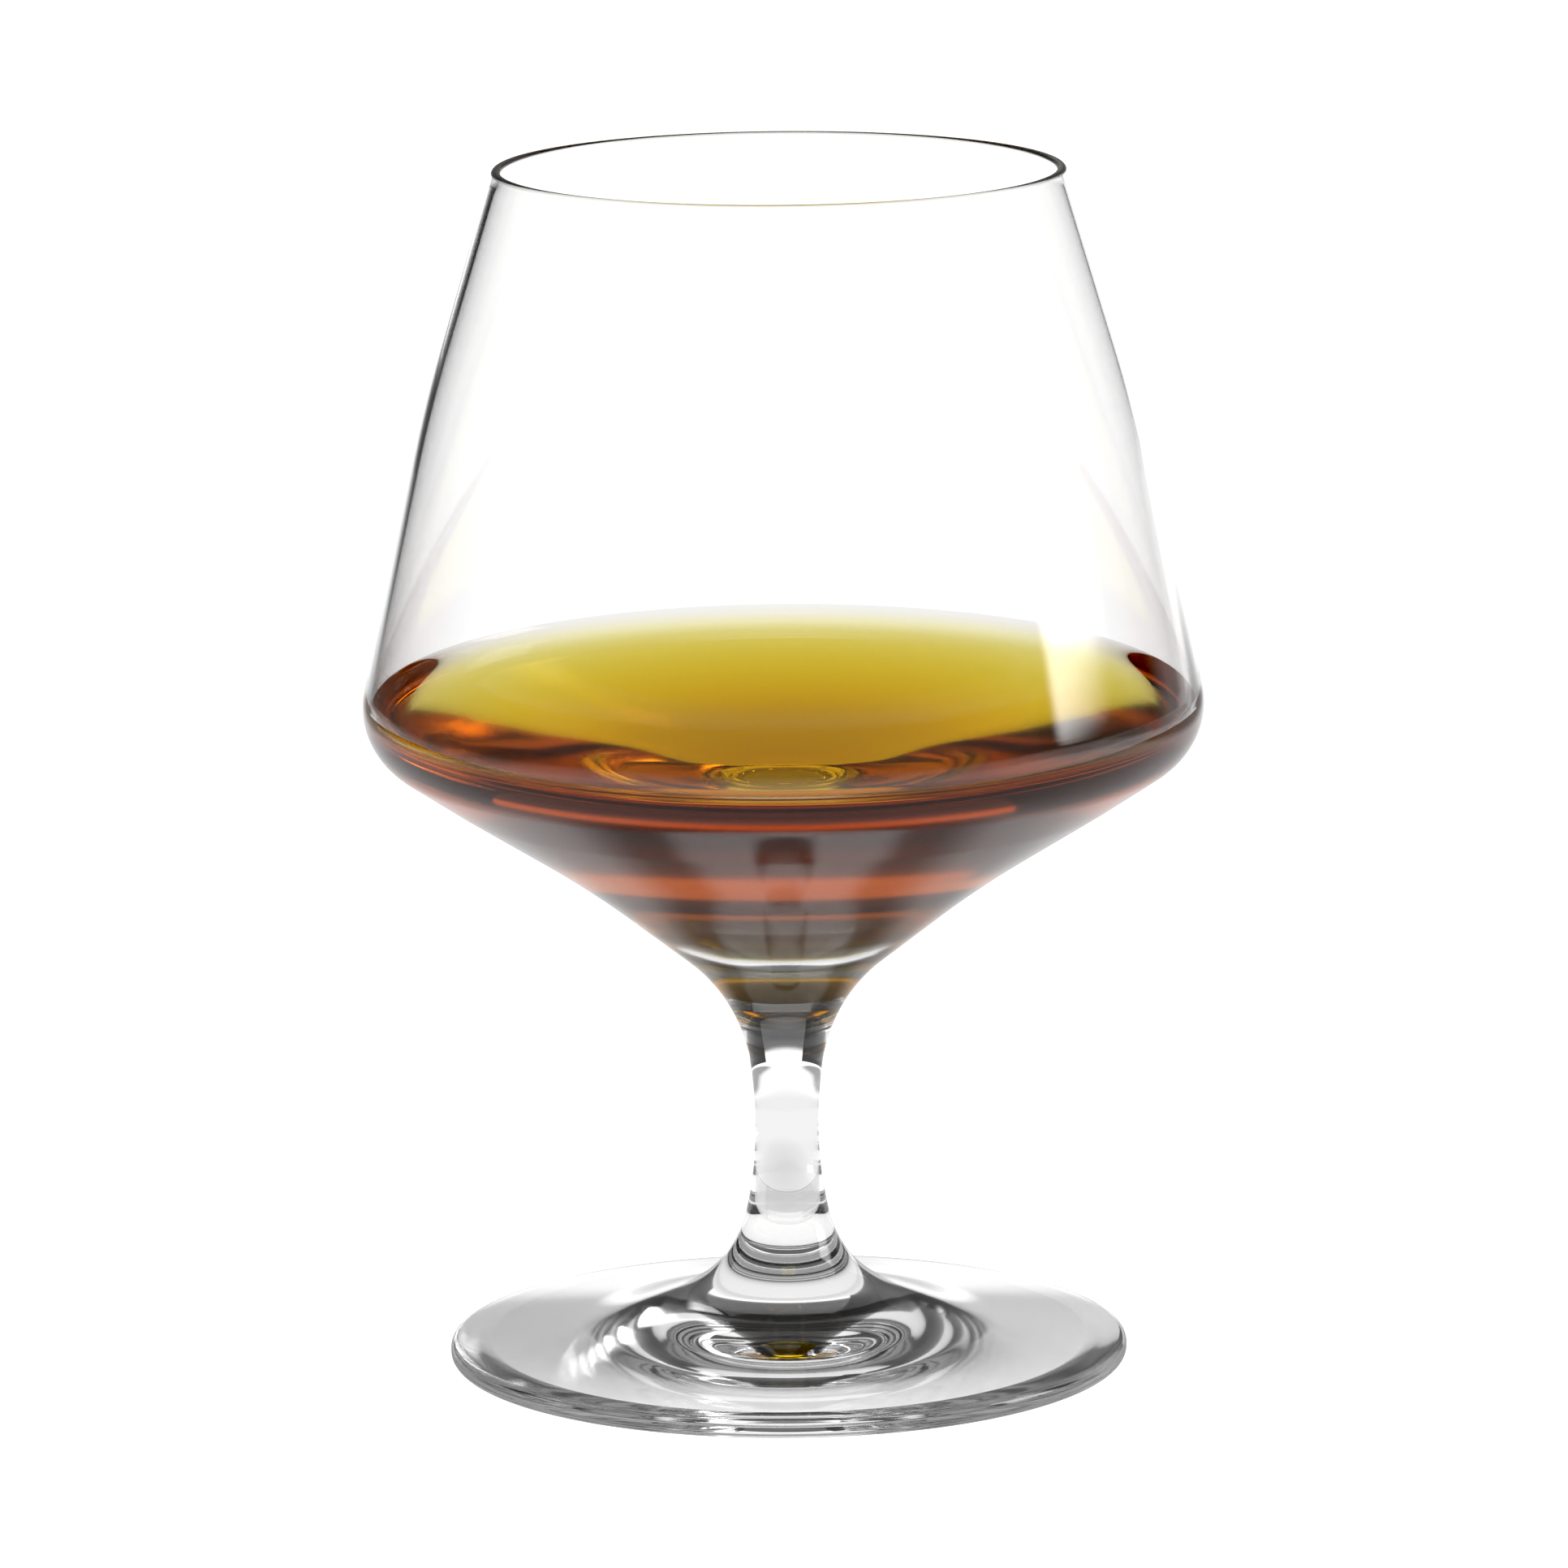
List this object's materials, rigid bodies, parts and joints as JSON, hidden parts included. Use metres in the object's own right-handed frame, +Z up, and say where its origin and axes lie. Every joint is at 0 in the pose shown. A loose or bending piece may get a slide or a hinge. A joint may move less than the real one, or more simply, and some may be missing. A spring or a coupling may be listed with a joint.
{
  "type": "brandy snifter",
  "caption": "Short-stemmed glass with a wide bowl that narrows to its mouth, a drawn stem and a round flat foot, holding brandy up to its widest part.",
  "frame": {"origin": "centre of the foot, on the plane of the table that it stands on", "axes": "+Z up along the axis of the glass, from the foot to the mouth; X and Y are alike, because the glass is round"},
  "size_m": [0.094, 0.094, 0.135],
  "materials": {
    "clear_glass": "polished clear soda-lime glass",
    "brandy": "clear amber liquid with a still, glossy surface"
  },
  "bodies": {
    "root": {"bowl": "clear_glass", "stem": "clear_glass", "foot": "clear_glass", "brandy": "brandy"}
  },
  "joints": []
}
